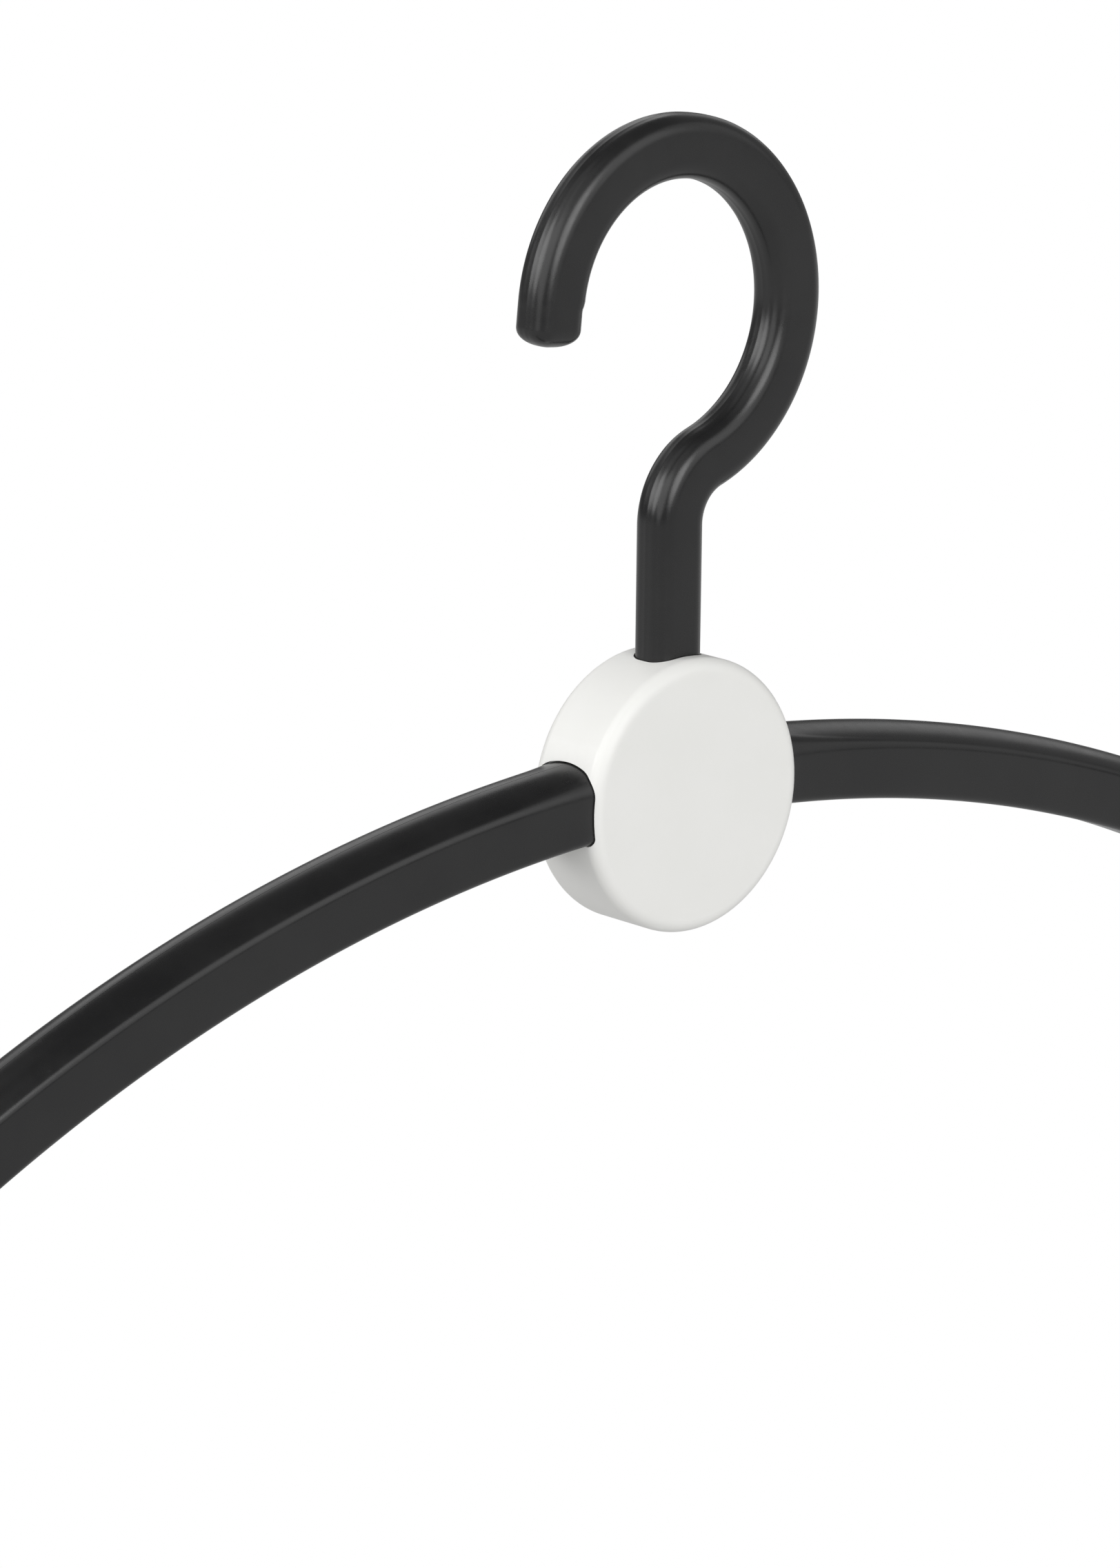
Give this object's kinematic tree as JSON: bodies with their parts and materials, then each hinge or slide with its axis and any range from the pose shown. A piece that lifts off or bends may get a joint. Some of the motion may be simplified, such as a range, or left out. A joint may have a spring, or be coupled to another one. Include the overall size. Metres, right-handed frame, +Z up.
{
  "type": "clothes hanger",
  "caption": "Clothes hanger with a round central hub, an open hook on a straight stem, and two curved arms with a rounded crown.",
  "frame": {"origin": "centre of the hook's inner arc, where a hanging rail passes through, on the hanger's middle plane", "axes": "+X along the right arm, -Y towards the front face of the hub, +Z up to the hook"},
  "size_m": [0.44, 0.0194, 0.2078],
  "materials": {
    "hub_plastic": "satin",
    "black_plastic": "satin",
    "screw_steel": "zinc plated"
  },
  "bodies": {
    "root": {"hub_front": "hub_plastic", "hub_rear_cover": "hub_plastic", "hook": "black_plastic", "arm_left_front": "black_plastic", "arm_left_rear": "black_plastic", "arm_right_front": "black_plastic", "arm_right_rear": "black_plastic", "hub_screws": "screw_steel"}
  },
  "joints": []
}
